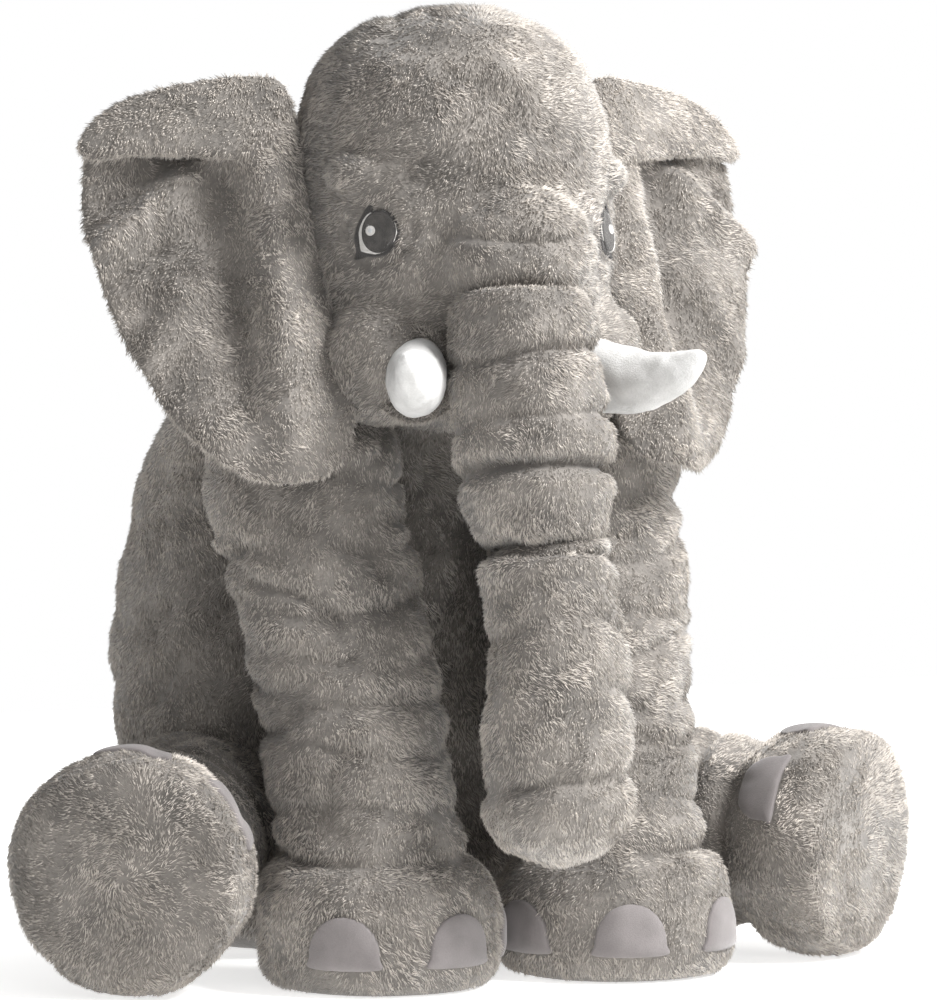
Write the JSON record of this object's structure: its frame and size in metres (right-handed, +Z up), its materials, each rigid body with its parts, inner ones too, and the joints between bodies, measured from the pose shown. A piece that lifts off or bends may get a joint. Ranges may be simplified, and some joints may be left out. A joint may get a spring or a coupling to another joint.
{
  "type": "stuffed elephant",
  "caption": "Sitting plush elephant with grey pile skin, hanging trunk, white tusks, folded ears, embroidered eyes and felt toenails; its soft joints bend.",
  "frame": {"origin": "centre of the flat underside of the seat panel that the elephant sits on", "axes": "+Z up; -Y the way the elephant faces; +X the elephant's left"},
  "size_m": [0.6212, 0.5119, 0.602],
  "materials": {
    "grey_plush": "short directional polyester plush pile, taupe grey",
    "ear_plush": "short plush pile brushed upwards, lighter taupe grey",
    "sole_plush": "short plush pile, taupe grey",
    "polyester_filling": "white hollow polyester fibre filling",
    "tusk_fleece": "smooth white fleece",
    "toenail_felt": "short smooth mauve grey felt with a stitched edge",
    "dark_thread": "dark satin-stitch embroidery",
    "iris_thread": "charcoal satin-stitch embroidery",
    "white_thread": "off-white satin-stitch embroidery",
    "glint_thread": "light grey satin-stitch embroidery"
  },
  "bodies": {
    "torso": {"torso_back_panel": "grey_plush", "torso_belly_panel": "grey_plush", "torso_seat_panel": "grey_plush", "torso_filling": "polyester_filling"},
    "head": {"head_left_cheek": "grey_plush", "head_right_cheek": "grey_plush", "head_gusset": "grey_plush", "head_filling": "polyester_filling", "eye_left_outline": "dark_thread", "eye_left_white": "white_thread", "eye_left_iris": "iris_thread", "eye_left_glint": "glint_thread", "eye_right_outline": "dark_thread", "eye_right_white": "white_thread", "eye_right_iris": "iris_thread", "eye_right_glint": "glint_thread", "tusk_left_cover": "tusk_fleece", "tusk_left_filling": "polyester_filling", "tusk_left_collar": "grey_plush", "tusk_right_cover": "tusk_fleece", "tusk_right_filling": "polyester_filling", "tusk_right_collar": "grey_plush"},
    "ear_left": {"ear_left_front_panel": "grey_plush", "ear_left_back_panel": "ear_plush", "ear_left_wadding": "polyester_filling"},
    "ear_right": {"ear_right_front_panel": "grey_plush", "ear_right_back_panel": "ear_plush", "ear_right_wadding": "polyester_filling"},
    "trunk_upper": {"trunk_upper_cover": "grey_plush", "trunk_upper_filling": "polyester_filling"},
    "trunk_lower": {"trunk_lower_cover": "grey_plush", "trunk_lower_stuffing": "polyester_filling", "trunk_nostril_pad": "toenail_felt"},
    "foreleg_left": {"foreleg_left_skin": "grey_plush", "foreleg_left_filling": "polyester_filling", "foreleg_left_sole": "sole_plush", "foreleg_left_toenail_1": "toenail_felt", "foreleg_left_toenail_2": "toenail_felt", "foreleg_left_toenail_3": "toenail_felt"},
    "foreleg_right": {"foreleg_right_skin": "grey_plush", "foreleg_right_filling": "polyester_filling", "foreleg_right_sole": "sole_plush", "foreleg_right_toenail_1": "toenail_felt", "foreleg_right_toenail_2": "toenail_felt", "foreleg_right_toenail_3": "toenail_felt"},
    "hindleg_left": {"hindleg_left_skin": "grey_plush", "hindleg_left_filling": "polyester_filling", "hindleg_left_sole": "sole_plush", "hindleg_left_toenail_1": "toenail_felt", "hindleg_left_toenail_2": "toenail_felt", "hindleg_left_toenail_3": "toenail_felt"},
    "hindleg_right": {"hindleg_right_skin": "grey_plush", "hindleg_right_filling": "polyester_filling", "hindleg_right_sole": "sole_plush", "hindleg_right_toenail_1": "toenail_felt", "hindleg_right_toenail_2": "toenail_felt", "hindleg_right_toenail_3": "toenail_felt"},
    "tail": {"tail": "grey_plush", "tail_end_tuft": "grey_plush"}
  },
  "joints": [
    {"name": "neck_nod", "type": "hinge", "parent": "torso", "child": "head", "pos_m": [0, -0.105, 0.385], "axis": [-1, 0, 0], "range_deg": [0, 12], "stiffness_Nm_per_rad": 3},
    {"name": "ear_left_flap", "type": "hinge", "parent": "head", "child": "ear_left", "pos_m": [0.104, -0.125, 0.55], "axis": [0, -0.3907, -0.9205], "range_deg": [-3, 30], "stiffness_Nm_per_rad": 0.3},
    {"name": "ear_right_flap", "type": "hinge", "parent": "head", "child": "ear_right", "pos_m": [-0.104, -0.125, 0.55], "axis": [0, 0.3907, 0.9205], "range_deg": [-3, 30], "stiffness_Nm_per_rad": 0.3},
    {"name": "trunk_lift", "type": "hinge", "parent": "head", "child": "trunk_upper", "pos_m": [0, -0.262, 0.425], "axis": [-1, 0, 0], "range_deg": [0, 60], "stiffness_Nm_per_rad": 0.5},
    {"name": "trunk_curl", "type": "hinge", "parent": "trunk_upper", "child": "trunk_lower", "pos_m": [0, -0.28874, 0.26522], "axis": [-1, 0, 0], "range_deg": [0, 45], "stiffness_Nm_per_rad": 0.3},
    {"name": "foreleg_left_swing", "type": "hinge", "parent": "torso", "child": "foreleg_left", "pos_m": [0.096, -0.14742, 0.295], "axis": [0.9397, 0.342, 0], "range_deg": [-20, 0], "stiffness_Nm_per_rad": 0.6},
    {"name": "foreleg_right_swing", "type": "hinge", "parent": "torso", "child": "foreleg_right", "pos_m": [-0.096, -0.14742, 0.295], "axis": [0.9397, -0.342, 0], "range_deg": [-20, 0], "stiffness_Nm_per_rad": 0.6},
    {"name": "hindleg_left_lift", "type": "hinge", "parent": "torso", "child": "hindleg_left", "pos_m": [0.09, 0, 0.085], "axis": [-0.8192, -0.5736, 0], "range_deg": [0, 12], "stiffness_Nm_per_rad": 0.6},
    {"name": "hindleg_right_lift", "type": "hinge", "parent": "torso", "child": "hindleg_right", "pos_m": [-0.09, 0, 0.085], "axis": [-0.8192, 0.5736, 0], "range_deg": [0, 12], "stiffness_Nm_per_rad": 0.6},
    {"name": "tail_swing", "type": "hinge", "parent": "torso", "child": "tail", "pos_m": [0, 0.12851, 0.15], "axis": [0, 1, 0], "range_deg": [-50, 50]}
  ]
}
